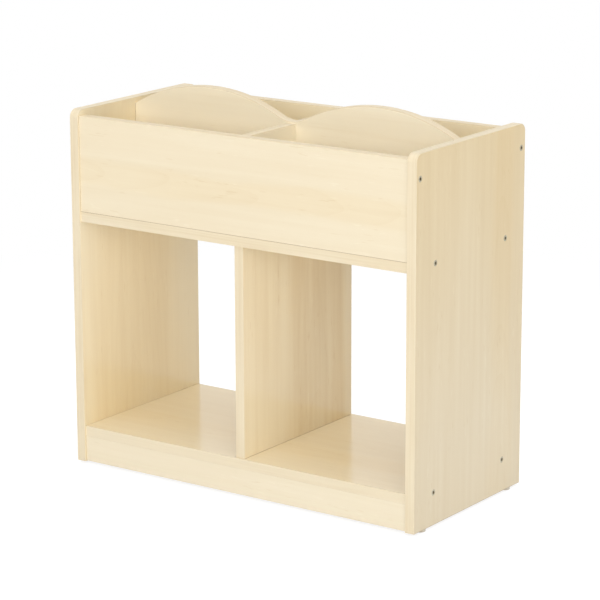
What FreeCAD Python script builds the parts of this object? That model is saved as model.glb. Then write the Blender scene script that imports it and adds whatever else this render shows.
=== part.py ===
import FreeCAD, Part
import math
import os
import re
import Sketcher
from FreeCAD import Placement, Rotation, Vector

# Picture book browser: a double-sided bin of 18 mm maple-faced board. Two side panels carry a bottom
# shelf and a bin floor, with two open bays between them. Above the bin floor two bin panels and three
# dividers make four compartments, in which picture books stand with their covers to the front.
#
# Frame: +X to the right, +Y to the rear, +Z up, millimetres. The origin is on the floor, under the
# middle of the browser. Every board is drawn on its own middle plane and padded to both sides of it.

doc = FreeCAD.newDocument("picture_book_browser")

# Sizes --------------------------------------------------------------------------------------------

SIZES = [
    ("overall_width", 720, "across the outer faces of the side panels"),
    ("overall_depth", 340, "front edge to rear edge of a side panel"),
    ("panel_height", 640, "side panel, bottom edge to top edge"),
    ("board", 18, "thickness of every board"),
    ("corner_radius", 15, "rounded upper corners of the side panels"),
    ("band", 1, "thickness of the edge band"),
    ("band_chamfer", 0.6, "broken long corners of the edge band"),
    ("shelf_setback", 3, "shelves, bin panels and kick boards behind the side panels' edges"),
    ("upright_setback", 3, "centre upright behind the shelves' edges"),
    ("kick_gap", 1, "kick boards above the side panels' bottom edges"),
    ("kick_height", 47, "kick board, up to the bottom shelf"),
    ("rim_drop", 10, "top edges of the bin panels below those of the side panels"),
    ("bin_depth", 171, "bin panel, from the bin floor to its top edge"),
    ("divider_drop", 2, "cross dividers below the top edges of the bin panels"),
    ("hump_rise", 44, "humps of the arched divider above the bin panels"),
    ("valley_width", 26, "gap between the humps at the bin panels' height, before it is rounded"),
    ("valley_radius", 60, "arc that rounds the gap between the humps"),
    ("shelf_screw_inset", 57, "screw in a shelf's end, from its front or rear edge"),
    ("bin_fixing_inset", 32, "screws and dowels round the bin, from its rim or its floor"),
    ("screw_length", 50, "connector screw, head included"),
    ("screw_head", 11, "diameter of the countersunk head"),
    ("screw_cone", 3, "height of the countersunk head"),
    ("screw_shank", 7, "diameter of the plain shank"),
    ("screw_shank_end", 15, "end of the plain shank, from the top of the head"),
    ("screw_core", 5, "diameter of the thinner part, which cuts into the second board"),
    ("socket_width", 5, "hex socket, across its flats"),
    ("socket_depth", 2.5, "depth of the hex socket"),
    ("dowel", 8, "diameter of the beech dowels"),
    ("dowel_in_face", 10, "length of a dowel in the board whose face it enters"),
    ("dowel_in_edge", 20, "length of a dowel in the board whose edge it enters"),
    ("hole_clearance", 0.1, "holes wider than what goes into them, on the radius"),
    ("hole_end_room", 1, "holes deeper than what goes into them"),
    ("glide", 18, "diameter of the floor glides"),
    ("glide_height", 5, "height of the floor glides"),
    ("glide_chamfer", 1.5, "chamfered lower corner of the glides"),
    ("glide_inset", 34, "middle of a glide from the side panel's edge"),
    ("glide_stem", 6, "diameter of the stem that plugs the glide into the side panel"),
    ("glide_stem_length", 12, "length of that stem"),
]

sheet = doc.addObject("Spreadsheet::Sheet", "Sizes")
for row, (alias, size, meaning) in enumerate(SIZES, start=1):
    sheet.set("A%d" % row, alias)
    sheet.set("B%d" % row, str(size))
    sheet.set("C%d" % row, meaning)
    sheet.setAlias("B%d" % row, alias)
doc.recompute()

# Places that several pieces share, worked out from the sizes. Heights are above the floor. The other
# places are distances from the middle of the browser.
PLACES = {
    "foot": "glide_height",
    "kick_bottom": "foot + kick_gap",
    "shelf_underside": "kick_bottom + kick_height",
    "shelf_top": "shelf_underside + board",
    "panel_top": "foot + panel_height",
    "rim": "panel_top - rim_drop",
    "bin_floor_top": "rim - bin_depth",
    "bin_underside": "bin_floor_top - board",
    "cross_divider_top": "rim - divider_drop",
    "lower_fixing": "bin_floor_top + bin_fixing_inset",
    "upper_fixing": "rim - bin_fixing_inset",
    "inner_half_width": "overall_width / 2 - board",
    "side_panel_middle": "overall_width / 2 - board / 2",
    "half_depth": "overall_depth / 2",
    "shelf_half_depth": "half_depth - shelf_setback",
    "upright_half_depth": "shelf_half_depth - upright_setback",
    "bin_panel_middle": "shelf_half_depth - board / 2",
    "bin_panel_inner": "shelf_half_depth - board",
    "cross_divider_middle": "(bin_panel_inner + board / 2) / 2",
    "cross_divider_length": "bin_panel_inner - board / 2",
    "shelf_screw_place": "shelf_half_depth - shelf_screw_inset",
    "hump_reach": "(inner_half_width - valley_width / 2) / 2",
    "hump_radius": "(hump_reach ^ 2 + hump_rise ^ 2) / (2 * hump_rise)",
    "hump_centre": "inner_half_width - hump_reach",
    "hump_centre_height": "rim + hump_rise - hump_radius",
}
ALIASES = {alias for alias, size, meaning in SIZES}


def bound(text):
    """The expression with its places written out and every alias turned into a cell of the sheet."""
    def cell(word):
        name = word[0]
        if name in PLACES:
            return "(" + bound(PLACES[name]) + ")"
        return "Sizes." + name if name in ALIASES else name
    return re.sub(r"[a-z][a-z_]*", cell, text)


def number(text):
    """The value of an expression in the sizes."""
    return float(sheet.evalExpression(bound(text)))


def move(thing, place, turn=Rotation()):
    """Turns a piece and moves it to a place given as three expressions."""
    thing.Placement = Placement(Vector(), turn)
    for axis, text in zip("xyz", place):
        thing.setExpression(".Placement.Base." + axis, bound(text))


# Sketches -----------------------------------------------------------------------------------------


def new_sketch(body, name, plane):
    """A sketch on one of the body's own origin planes."""
    sketch = body.newObject("Sketcher::SketchObject", name)
    support = [feature for feature in body.Origin.OriginFeatures if feature.Role == plane][0]
    sketch.AttachmentSupport = (support, [""])
    sketch.MapMode = "FlatFace"
    return sketch


def dimension(sketch, kind, *where, size):
    """A dimension bound to an expression in the sizes."""
    index = sketch.addConstraint(Sketcher.Constraint(kind, *where, number(size)))
    sketch.setExpression("Constraints[%d]" % index, bound(size))


def pin_point(sketch, edge, point, across, up):
    """Holds an edge's start (1) or end (2), or an arc's centre (3), at a place from the origin."""
    dimension(sketch, "DistanceX", -1, 1, edge, point, size=across)
    dimension(sketch, "DistanceY", -1, 1, edge, point, size=up)


def line(*ends):
    return Part.LineSegment(*(Vector(across, up, 0) for across, up in ends))


def arc(across, up, radius, start, end):
    """An arc about a centre, anticlockwise from a start angle to an end angle."""
    return Part.ArcOfCircle(Part.Circle(Vector(across, up, 0), Vector(0, 0, 1), radius), start, end)


def polygon(sketch, corners):
    """A closed outline of straight edges through corners given as pairs of expressions."""
    points = [(number(across), number(up)) for across, up in corners]
    for start, end in zip(points, points[1:] + points[:1]):
        sketch.addGeometry(line(start, end))
    for edge, (across, up) in enumerate(corners):
        following = (edge + 1) % len(corners)
        sketch.addConstraint(Sketcher.Constraint("Coincident", edge, 2, following, 1))
        pin_point(sketch, edge, 1, across, up)


def rounded_outline(sketch, half, bottom, top, radius):
    """A rectangle about the upright axis, whose upper corners are arcs that run into its edges."""
    x, low, high, r = (number(text) for text in (half, bottom, top, radius))
    bottom_edge, right_edge, right_arc, top_edge, left_arc, left_edge = range(6)
    sketch.addGeometry([
        line((-x, low), (x, low)),
        line((x, low), (x, high - r)),
        arc(x - r, high - r, r, 0, math.pi / 2),
        line((x - r, high), (r - x, high)),
        arc(r - x, high - r, r, math.pi / 2, math.pi),
        line((-x, high - r), (-x, low)),
    ])
    sketch.addConstraint([
        Sketcher.Constraint("Coincident", bottom_edge, 2, right_edge, 1),
        Sketcher.Constraint("Tangent", right_edge, 2, right_arc, 1),
        Sketcher.Constraint("Tangent", right_arc, 2, top_edge, 1),
        Sketcher.Constraint("Tangent", top_edge, 2, left_arc, 1),
        Sketcher.Constraint("Tangent", left_arc, 2, left_edge, 1),
        Sketcher.Constraint("Coincident", left_edge, 2, bottom_edge, 1),
        Sketcher.Constraint("Vertical", right_edge),
        Sketcher.Constraint("Vertical", left_edge),
        Sketcher.Constraint("Horizontal", top_edge),
    ])
    pin_point(sketch, bottom_edge, 1, "-(%s)" % half, bottom)
    pin_point(sketch, bottom_edge, 2, half, bottom)
    dimension(sketch, "DistanceY", -1, 1, top_edge, 1, size=top)
    for corner in (right_arc, left_arc):
        dimension(sketch, "Radius", corner, size=radius)


def side_outline(sketch, inset):
    """A side panel seen from the side, its front, top and rear edges set in by the given amount."""
    rounded_outline(sketch, "half_depth - (%s)" % inset, "foot", "panel_top - (%s)" % inset,
                    "corner_radius - (%s)" % inset)


def arched_outline(sketch, inset):
    """The arched divider seen from the front, its curved top edge set in by the given amount.

    Two humps meet the side panels at the bin panels' height, and a smaller arc runs smoothly
    between them over the middle. All three arcs keep their centres when the edge is set in, so
    the set-in edge runs parallel to the finished one.
    """
    hump_size, valley_size = "hump_radius - (%s)" % inset, "valley_radius + (%s)" % inset
    half, low, centre, level = (number(text) for text in (
        "inner_half_width", "bin_floor_top", "hump_centre", "hump_centre_height"))
    hump, valley = number(hump_size), number(valley_size)
    between_centres = math.acos(centre / (hump + valley))
    valley_level = level + centre * math.tan(between_centres)
    end_angle = math.acos((half - centre) / hump)
    end_level = level + hump * math.sin(end_angle)
    bottom_edge, right_end, right_hump, dip, left_hump, left_end = range(6)
    sketch.addGeometry([
        line((-half, low), (half, low)),
        line((half, low), (half, end_level)),
        arc(centre, level, hump, end_angle, math.pi - between_centres),
        arc(0, valley_level, valley, between_centres - math.pi, -between_centres),
        arc(-centre, level, hump, between_centres, math.pi - end_angle),
        line((-half, end_level), (-half, low)),
    ])
    sketch.addConstraint([
        Sketcher.Constraint("Coincident", bottom_edge, 2, right_end, 1),
        Sketcher.Constraint("Coincident", right_end, 2, right_hump, 1),
        Sketcher.Constraint("Tangent", right_hump, 2, dip, 2),
        Sketcher.Constraint("Tangent", dip, 1, left_hump, 1),
        Sketcher.Constraint("Coincident", left_hump, 2, left_end, 1),
        Sketcher.Constraint("Coincident", left_end, 2, bottom_edge, 1),
        Sketcher.Constraint("Vertical", right_end),
        Sketcher.Constraint("Vertical", left_end),
    ])
    pin_point(sketch, bottom_edge, 1, "-inner_half_width", "bin_floor_top")
    pin_point(sketch, bottom_edge, 2, "inner_half_width", "bin_floor_top")
    pin_point(sketch, right_hump, 3, "hump_centre", "hump_centre_height")
    pin_point(sketch, left_hump, 3, "-hump_centre", "hump_centre_height")
    for curve, size in ((right_hump, hump_size), (left_hump, hump_size), (dip, valley_size)):
        dimension(sketch, "Radius", curve, size=size)


# Boards and edge bands ----------------------------------------------------------------------------


def pad(body, sketch, length):
    """Pads a sketch to both sides of its plane."""
    feature = body.newObject("PartDesign::Pad", body.Name + "_pad")
    feature.Profile = sketch
    feature.SideType = "Symmetric"
    feature.setExpression("Length", bound(length))
    return feature


def board(name, plane, draw, middle=("0", "0", "0")):
    """A board before drilling: an outline padded to the board's thickness, moved to its place."""
    body = doc.addObject("PartDesign::Body", name + "_blank")
    sketch = new_sketch(body, name + "_outline", plane)
    draw(sketch)
    pad(body, sketch, "board")
    move(body, middle)
    blanks[name] = body


def rectangle(half, bottom, top):
    """Draws a rectangular board about the upright axis of its sketch."""
    left = "-(%s)" % half
    return lambda sketch: polygon(sketch, [(left, bottom), (half, bottom), (half, top), (left, top)])


def straight_band(name, edge_middle, along, outward, length):
    """A strip of edge band on a straight edge of a board.

    Its section is as wide as the board is thick, with two chamfered outer corners, and is padded
    along the edge, to both sides of the edge's middle.
    """
    body = doc.addObject("PartDesign::Body", name)
    sketch = new_sketch(body, name + "_section", "YZ_Plane")
    polygon(sketch, [("-board / 2", "0"), ("board / 2", "0"), ("board / 2", "band - band_chamfer"),
                     ("board / 2 - band_chamfer", "band"), ("band_chamfer - board / 2", "band"),
                     ("-board / 2", "band - band_chamfer")])
    pad(body, sketch, length)
    move(body, edge_middle, Rotation(along, outward.cross(along), outward, "ZXY"))
    return body


def wrapped_band(name, plane, draw, is_chamfered, middle=("0", "0", "0")):
    """A strip of edge band bent round a board's outline.

    The board's finished outline is padded and the band's long corners are chamfered. Then the
    bare board's outline, which lies one band further in, is cut out of it.
    """
    body = doc.addObject("PartDesign::Body", name)
    outer = new_sketch(body, name + "_outer", plane)
    draw(outer, "0")
    block = pad(body, outer, "board")
    inner = new_sketch(body, name + "_inner", plane)
    draw(inner, "band")
    doc.recompute()
    edges = ["Edge%d" % place for place, edge in enumerate(block.Shape.Edges, start=1) if is_chamfered(edge)]
    chamfer = body.newObject("PartDesign::Chamfer", name + "_chamfer")
    chamfer.Base = (block, edges)
    chamfer.setExpression("Size", bound("band_chamfer"))
    core = body.newObject("PartDesign::Pocket", name + "_core")
    core.Profile = inner
    core.SideType = "Symmetric"
    core.Type = "ThroughAll"
    move(body, middle)
    keep(name, body)


def keep(name, piece):
    """Names a finished piece after its file."""
    piece.Label = name
    nodes.append(piece)


def group(name, pieces):
    """Like pieces that share a file, as a group of separate solids."""
    together = doc.addObject("Part::Compound", name)
    together.Links = pieces
    keep(name, together)


X, Y, Z = Vector(1, 0, 0), Vector(0, 1, 0), Vector(0, 0, 1)
SIDES = (("left", -1), ("right", 1))
FACES = (("front", -1), ("rear", 1))
blanks = {}
nodes = []


def edges_side_band(edge):
    """The edges of a side panel's two faces, but for the bottom one, which has no band."""
    lies_in_a_face = edge.BoundBox.XLength < number("band")
    return lies_in_a_face and edge.BoundBox.ZMax > number("foot + band")


def edges_arched_band(edge):
    return edge.Curve.TypeId == "Part::GeomCircle"


# The side panels stand on the glides. One band runs up the front, over the top and down the rear.
for side, sign in SIDES:
    place = ("%d * side_panel_middle" % sign, "0", "0")
    board(side + "_side_panel", "YZ_Plane", lambda sketch: side_outline(sketch, "band"), place)
    wrapped_band(side + "_side_band", "YZ_Plane", side_outline, edges_side_band, place)

# Both shelves run from side panel to side panel, banded at the front and the rear.
for shelf, underside in (("bottom_shelf", "shelf_underside"), ("bin_floor", "bin_underside")):
    level = underside + " + board / 2"
    board(shelf, "XY_Plane",
          rectangle("inner_half_width", "band - shelf_half_depth", "shelf_half_depth - band"),
          ("0", "0", level))
    group(shelf + "_bands", [
        straight_band("%s_%s_band" % (face, shelf), ("0", "%d * (shelf_half_depth - band)" % sign, level),
                      X, Y * sign, "2 * inner_half_width") for face, sign in FACES])

# The centre upright stands between the shelves and parts the two bays.
board("centre_upright", "YZ_Plane", rectangle("upright_half_depth - band", "shelf_top", "bin_underside"))
group("centre_upright_bands", [
    straight_band(face + "_upright_band",
                  ("0", "%d * (upright_half_depth - band)" % sign, "(shelf_top + bin_underside) / 2"),
                  Z, Y * sign, "bin_underside - shelf_top") for face, sign in FACES])

# A bin panel stands on each long edge of the bin floor, and a kick board hangs under each long edge
# of the bottom shelf. The free edge of each has a band.
for face, sign in FACES:
    middle = "%d * bin_panel_middle" % sign
    board(face + "_bin_panel", "XZ_Plane", rectangle("inner_half_width", "bin_floor_top", "rim - band"),
          ("0", middle, "0"))
    board(face + "_kick_board", "XZ_Plane",
          rectangle("inner_half_width", "kick_bottom + band", "shelf_underside"), ("0", middle, "0"))
    for name, level, outward in ((face + "_bin_panel_band", "rim - band", Z),
                                 (face + "_kick_board_band", "kick_bottom + band", -Z)):
        keep(name, straight_band(name, ("0", middle, level), X, outward, "2 * inner_half_width"))

# The arched divider runs along the middle of the bin, with one band over both humps.
board("arched_divider", "XZ_Plane", lambda sketch: arched_outline(sketch, "band"))
wrapped_band("arched_divider_band", "XZ_Plane", arched_outline, edges_arched_band)

# A cross divider stands between the arched divider and each bin panel.
for face, sign in FACES:
    name = face + "_cross_divider"
    middle = "%d * cross_divider_middle" % sign
    board(name, "YZ_Plane",
          rectangle("cross_divider_length / 2", "bin_floor_top", "cross_divider_top - band"),
          ("0", middle, "0"))
    keep(name + "_band", straight_band(name + "_band", ("0", middle, "cross_divider_top - band"), Y, Z,
                                       "cross_divider_length"))

# Fasteners and glides -----------------------------------------------------------------------------


def turned(name, profile):
    """A piece turned about the Z axis, from a profile of (radius, height) corners."""
    body = doc.addObject("PartDesign::Body", name)
    sketch = new_sketch(body, name + "_profile", "XZ_Plane")
    polygon(sketch, profile)
    turning = body.newObject("PartDesign::Revolution", name + "_turning")
    turning.Profile = sketch
    turning.ReferenceAxis = (sketch, ["V_Axis"])
    turning.Angle = 360
    return body


def pin_and_drilling(name, low, high):
    """A dowel along Z from one height to another, and the hole that it needs."""
    pin, hole = "dowel / 2", "dowel / 2 + hole_clearance"
    hole_low, hole_high = low + " - hole_end_room", high + " + hole_end_room"
    return (turned(name, [("0", low), (pin, low), (pin, high), ("0", high)]),
            turned(name + "_hole", [("0", hole_low), (hole, hole_low), (hole, hole_high), ("0", hole_high)]))


# A dowel enters one board's face and the other's edge, which meet at height 0. A through dowel
# passes the arched divider, whose middle is at height 0, and enters the ends of both cross dividers.
dowel = pin_and_drilling("dowel", "-dowel_in_face", "dowel_in_edge")
through_dowel = pin_and_drilling("through_dowel", "-board / 2 - dowel_in_edge", "board / 2 + dowel_in_edge")

# The connector screw points up, with the top of its countersunk head at height 0. Its shank passes
# the first board, and its thinner part holds in the second, whose face is one board further on.
screw_blank = turned("connector_screw", [
    ("0", "0"), ("screw_head / 2", "0"), ("screw_shank / 2", "screw_cone"),
    ("screw_shank / 2", "screw_shank_end"), ("screw_core / 2", "screw_shank_end"),
    ("screw_core / 2", "screw_length"), ("0", "screw_length")])
screw_hole = turned("connector_screw_hole", [
    ("0", "-hole_end_room"), ("screw_head / 2 + hole_clearance", "-hole_end_room"),
    ("screw_head / 2 + hole_clearance", "0"), ("screw_shank / 2 + hole_clearance", "screw_cone"),
    ("screw_shank / 2 + hole_clearance", "board"), ("screw_core / 2 + hole_clearance", "board"),
    ("screw_core / 2 + hole_clearance", "screw_length + hole_end_room"),
    ("0", "screw_length + hole_end_room")])

hexagon = new_sketch(screw_blank, "hex_socket", "XY_Plane")
corner, flat = "socket_width / sqrt(3)", "socket_width / 2"
polygon(hexagon, [(corner, "0"), (corner + " / 2", flat), ("-%s / 2" % corner, flat),
                  ("-" + corner, "0"), ("-%s / 2" % corner, "-" + flat), (corner + " / 2", "-" + flat)])
doc.recompute()
volume_without_socket = screw_blank.Shape.Volume
socket = screw_blank.newObject("PartDesign::Pocket", "socket")
socket.Profile = hexagon
socket.Reversed = True
socket.setExpression("Length", bound("socket_depth"))
doc.recompute()
if screw_blank.Shape.Volume >= volume_without_socket:
    raise RuntimeError("the hex socket cuts nothing")
screw = (screw_blank, screw_hole)

# The glide hangs under height 0, and its stem plugs into a hole above.
glide = (turned("glide", [
    ("0", "-glide_height"), ("glide / 2 - glide_chamfer", "-glide_height"),
    ("glide / 2", "glide_chamfer - glide_height"), ("glide / 2", "0"), ("glide_stem / 2", "0"),
    ("glide_stem / 2", "glide_stem_length"), ("0", "glide_stem_length")]),
    turned("glide_hole", [
        ("0", "-hole_end_room"), ("glide_stem / 2 + hole_clearance", "-hole_end_room"),
        ("glide_stem / 2 + hole_clearance", "glide_stem_length + hole_end_room"),
        ("0", "glide_stem_length + hole_end_room")]))


def copy_at(master, place, direction):
    """A linked copy of a turned piece, pointing the given way."""
    link = doc.addObject("App::Link", master.Name + "_copy")
    link.LinkedObject = master
    move(link, place, Rotation(Z, direction))
    return link


def fasten(fastener, place, direction, *boards):
    """One fastener at a place, with its hole drilled in each board that it joins."""
    pin, hole = fastener
    drill = copy_at(hole, place, direction)
    for name in boards:
        drills[name].append(drill)
    return copy_at(pin, place, direction)


drills = {name: [] for name in blanks}

# Six screws through each side panel: one into the end of each bin panel, and two into each shelf.
for side, sign in SIDES:
    outer_face = "%d * overall_width / 2" % sign
    screws = []
    for face, way in FACES:
        screws.append(fasten(screw, (outer_face, "%d * bin_panel_middle" % way, "upper_fixing"), X * -sign,
                             side + "_side_panel", face + "_bin_panel"))
        for shelf, underside in (("bin_floor", "bin_underside"), ("bottom_shelf", "shelf_underside")):
            place = (outer_face, "%d * shelf_screw_place" % way, underside + " + board / 2")
            screws.append(fasten(screw, place, X * -sign, side + "_side_panel", shelf))
    group(side + "_side_screws", screws)

# Each bin panel and kick board has a dowel in each end, and two in the edge that meets the shelf,
# which part its length in three.
for face, way in FACES:
    for name, end_level, shelf, joint, into in (
            ("bin_panel", "lower_fixing", "bin_floor", "bin_floor_top", Z),
            ("kick_board", "(kick_bottom + shelf_underside) / 2", "bottom_shelf", "shelf_underside", -Z)):
        middle = "%d * bin_panel_middle" % way
        dowels = []
        for side, sign in SIDES:
            dowels.append(fasten(dowel, ("%d * inner_half_width" % sign, middle, end_level), X * -sign,
                                 side + "_side_panel", "%s_%s" % (face, name)))
            dowels.append(fasten(dowel, ("%d * inner_half_width / 3" % sign, middle, joint), into,
                                 shelf, "%s_%s" % (face, name)))
        group("%s_%s_dowels" % (face, name), dowels)

# The arched divider has two dowels in each end.
group("arched_divider_dowels", [
    fasten(dowel, ("%d * inner_half_width" % sign, "0", level), X * -sign,
           side + "_side_panel", "arched_divider")
    for side, sign in SIDES for level in ("lower_fixing", "upper_fixing")])

# The cross dividers hang on two dowels from each bin panel and on two that go right through the
# arched divider, each of which holds both.
group("cross_divider_dowels", [
    fasten(dowel, ("0", "%d * bin_panel_inner" % way, level), Y * -way,
           face + "_bin_panel", face + "_cross_divider")
    for face, way in FACES for level in ("lower_fixing", "upper_fixing")])
group("through_dowels", [
    fasten(through_dowel, ("0", "0", level), Y, "front_cross_divider", "arched_divider", "rear_cross_divider")
    for level in ("lower_fixing", "upper_fixing")])

# The upright has two screws from under the bottom shelf, and two dowels up into the bin floor.
group("upright_screws", [
    fasten(screw, ("0", "%d * shelf_screw_place" % way, "shelf_underside"), Z,
           "bottom_shelf", "centre_upright")
    for face, way in FACES])
group("upright_dowels", [
    fasten(dowel, ("0", "%d * shelf_screw_place" % way, "bin_underside"), -Z, "bin_floor", "centre_upright")
    for face, way in FACES])

# Four glides, plugged into the bottom edges of the side panels.
group("floor_glides", [
    fasten(glide, ("%d * side_panel_middle" % sign, "%d * (half_depth - glide_inset)" % way, "foot"), Z,
           side + "_side_panel")
    for side, sign in SIDES for face, way in FACES])

# Each board is its blank with all of its holes cut out.
for name, blank in blanks.items():
    holes = doc.addObject("Part::Compound", name + "_holes")
    holes.Links = drills[name]
    drilled = doc.addObject("Part::Cut", name)
    drilled.Base = blank
    drilled.Tool = holes
    keep(name, drilled)

# Check and write ----------------------------------------------------------------------------------

doc.recompute()
for thing in doc.Objects:
    if "Invalid" in thing.State or "Error" in thing.State:
        raise RuntimeError("%s failed: %s" % (thing.Label, thing.State))
for piece in nodes:
    if piece.Shape.isNull() or not piece.Shape.isValid():
        raise RuntimeError("%s has no valid shape" % piece.Label)

os.makedirs("parts", exist_ok=True)
for piece in nodes:
    piece.Shape.exportStep("parts/%s.step" % piece.Label)
    print("%-24s %2d solids %10.1f mm3" % (piece.Label, len(piece.Shape.Solids), piece.Shape.Volume))
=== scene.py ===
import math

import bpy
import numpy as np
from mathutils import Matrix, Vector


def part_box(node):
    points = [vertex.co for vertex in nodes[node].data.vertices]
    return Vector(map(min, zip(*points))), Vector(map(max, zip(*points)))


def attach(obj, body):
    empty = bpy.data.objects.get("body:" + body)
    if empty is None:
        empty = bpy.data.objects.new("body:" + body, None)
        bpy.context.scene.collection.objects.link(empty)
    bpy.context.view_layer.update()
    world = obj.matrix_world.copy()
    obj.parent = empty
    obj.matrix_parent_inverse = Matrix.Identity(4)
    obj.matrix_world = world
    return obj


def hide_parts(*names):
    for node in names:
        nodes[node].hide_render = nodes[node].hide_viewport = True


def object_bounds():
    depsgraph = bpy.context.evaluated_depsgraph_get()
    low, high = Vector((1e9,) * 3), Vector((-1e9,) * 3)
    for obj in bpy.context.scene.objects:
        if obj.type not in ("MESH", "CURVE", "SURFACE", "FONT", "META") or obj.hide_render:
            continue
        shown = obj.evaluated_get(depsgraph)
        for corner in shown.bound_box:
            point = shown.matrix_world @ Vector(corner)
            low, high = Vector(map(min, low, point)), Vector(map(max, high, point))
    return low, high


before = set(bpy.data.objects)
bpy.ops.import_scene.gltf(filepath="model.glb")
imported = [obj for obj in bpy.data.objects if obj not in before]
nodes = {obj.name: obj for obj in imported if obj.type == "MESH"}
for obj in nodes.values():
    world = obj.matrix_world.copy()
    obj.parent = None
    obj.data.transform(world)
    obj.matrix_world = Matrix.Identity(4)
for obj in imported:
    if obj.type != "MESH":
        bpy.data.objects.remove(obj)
cad_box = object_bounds()

# %% [markdown]
# # A picture book browser, dressed
#
# The browser is a double-sided bin over two open bays: two side panels, two shelves, an upright, four
# low panels and three dividers. Its CAD model stands already at its real size, and nothing here
# moves it. This lesson gives each surface the finish that the real one has. The boards keep their
# CAD meshes and get new materials. The edge bands, screws, dowels and glides are made again as
# finer meshes, because their rounded corners, threads, flutes and sockets catch the light.

MM = 0.001
print("CAD pieces:", len(nodes))
print("box in metres:", [tuple(round(c, 4) for c in corner) for corner in cad_box])

# %% [markdown]
# ## Writing a material as arithmetic
#
# A Blender material is a net of nodes, and a net is hard to read as a list of links. Two small
# classes let it be written as formulas instead. A Field stands for one socket that varies over the
# surface, and its operators add the Math nodes that work them out. A Graph holds one net and adds
# every other kind of node through one method, which sets a node's settings before its sockets.

# %% Fields


class Field:
    """A number, colour or vector that varies over a surface. The operators are for numbers only."""

    def __init__(self, graph, socket):
        self.graph, self.socket = graph, socket

    def maths(self, operation, *values):
        return self.graph.add("Math", {"operation": operation}, dict(enumerate(values)))

    def __add__(self, other):
        return self.maths("ADD", self, other)

    def __sub__(self, other):
        return self.maths("SUBTRACT", self, other)

    def __mul__(self, other):
        return self.maths("MULTIPLY", self, other)

    def __truediv__(self, other):
        return self.maths("DIVIDE", self, other)

    def __pow__(self, other):
        return self.maths("POWER", self, other)

    def __radd__(self, other):
        return self.maths("ADD", other, self)

    def __rsub__(self, other):
        return self.maths("SUBTRACT", other, self)

    def __rmul__(self, other):
        return self.maths("MULTIPLY", other, self)

    def __abs__(self):
        return self.maths("ABSOLUTE", self)

    def fraction(self):
        return self.maths("FRACT", self)

    def larger(self, other):
        return self.maths("MAXIMUM", self, other)

    def ramp(self, low, high):
        """0 up to low, 1 from high on, and an S-shaped rise between them."""
        sockets = {"Value": self, "From Min": low, "From Max": high}
        return self.graph.add("MapRange", {"interpolation_type": "SMOOTHSTEP"}, sockets)


# %% Graphs
# A Mix node has sockets of the same name for numbers, vectors and colours, so its colour sockets
# are told apart by their numbers.
MIX_FACTOR, MIX_FIRST, MIX_SECOND, MIX_RESULT = 0, 6, 7, 2


class Graph:
    """The node net of one material or world."""

    def __init__(self, owner):
        owner.use_nodes = True
        self.owner, self.tree = owner, owner.node_tree
        self.tree.nodes.clear()

    def node(self, kind, settings, sockets):
        """Adds a node, sets its settings, then gives each socket its value or its link."""
        made = self.tree.nodes.new("ShaderNode" + kind)
        for name, value in settings.items():
            setattr(made, name, value)
        for name, value in sockets.items():
            if isinstance(value, Field):
                self.tree.links.new(value.socket, made.inputs[name])
            else:
                made.inputs[name].default_value = value
        return made

    def add(self, kind, settings, sockets, output=0):
        """Adds a node and gives one of its outputs as a field."""
        return Field(self, self.node(kind, settings, sockets).outputs[output])

    def split(self, vector):
        """The three numbers of a vector."""
        parts = self.node("SeparateXYZ", {}, {"Vector": vector})
        return [Field(self, part) for part in parts.outputs]

    def join(self, *numbers):
        return self.add("CombineXYZ", {}, dict(enumerate(numbers)))

    def place(self):
        """The place on the piece, in metres in the row frame."""
        return self.add("TexCoord", {}, {}, "Object")

    def noise(self, place, detail, roughness=0.5):
        """Smooth noise around 0.5, with one wave about every unit of place."""
        sockets = {"Vector": place, "Scale": 1.0, "Detail": detail, "Roughness": roughness}
        return self.add("TexNoise", {}, sockets)

    def speckle(self, waves, detail, roughness=0.5):
        """The same noise on the piece's own place, with so many waves per metre."""
        scaled = self.add("Mapping", {}, {"Vector": self.place(), "Scale": (waves, waves, waves)})
        return self.noise(scaled, detail, roughness)

    def blend(self, share, first, second):
        """From the first colour, where share is 0, to the second, where it is 1."""
        sockets = {MIX_FACTOR: share, MIX_FIRST: first, MIX_SECOND: second}
        return self.add("Mix", {"data_type": "RGBA"}, sockets, MIX_RESULT)

    def tint(self, share, colour, stain):
        """The colour multiplied by a stain, as far as share says."""
        settings = {"data_type": "RGBA", "blend_type": "MULTIPLY", "clamp_factor": True}
        sockets = {MIX_FACTOR: share, MIX_FIRST: colour, MIX_SECOND: stain}
        return self.add("Mix", settings, sockets, MIX_RESULT)

    def finish(self, shader):
        kind = "World" if isinstance(self.owner, bpy.types.World) else "Material"
        output = self.node("Output" + kind, {}, {})
        self.tree.links.new(shader.socket, output.inputs["Surface"])
        return self.owner


# %% Colours


def srgb(red, green, blue):
    """A colour as it is read off a screen, 0 to 255, turned into the linear light of a shader."""
    light = [c / 12.92 if c <= 0.04045 else ((c + 0.055) / 1.055) ** 2.4
             for c in (red / 255, green / 255, blue / 255)]
    return (*light, 1.0)


# %% [markdown]
# ## Maple print
#
# The boards are chipboard faced with melamine paper, which is printed with plain-sawn maple. An
# image of it would show its edges and its size, so the wood is worked out instead.
#
# A log's rings are cylinders about its pith, and the saw cuts them by a plane that is nearly along
# the log. The distance from the pith is then sqrt(across² + depth²), and where the depth changes
# slowly along the board the rings draw long arches. They show only near the heart line, where the
# wood is also a little darker and rosier. On the left side panel and the upright that darker band
# is also painted shade on the walls of the bays. Everywhere there are faint streaks, and short
# flecks, darker and lighter, that come in clusters. All of it is quiet, because maple is.

# %% The maple's tones
CREAM = srgb(251, 242, 219)
TAN = srgb(229, 210, 174)
ROSE_TINT = (1.0, 0.96, 0.87, 1.0)
WARM_TINT = (1.0, 0.905, 0.70, 1.0)
MIDDLE_TONE = 0.36
RING_SPACING = 9 * MM
RING_SHARPNESS = 5.0
PITH_DEPTH = 60 * MM
PITH_SLOPE = 0.06

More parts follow.
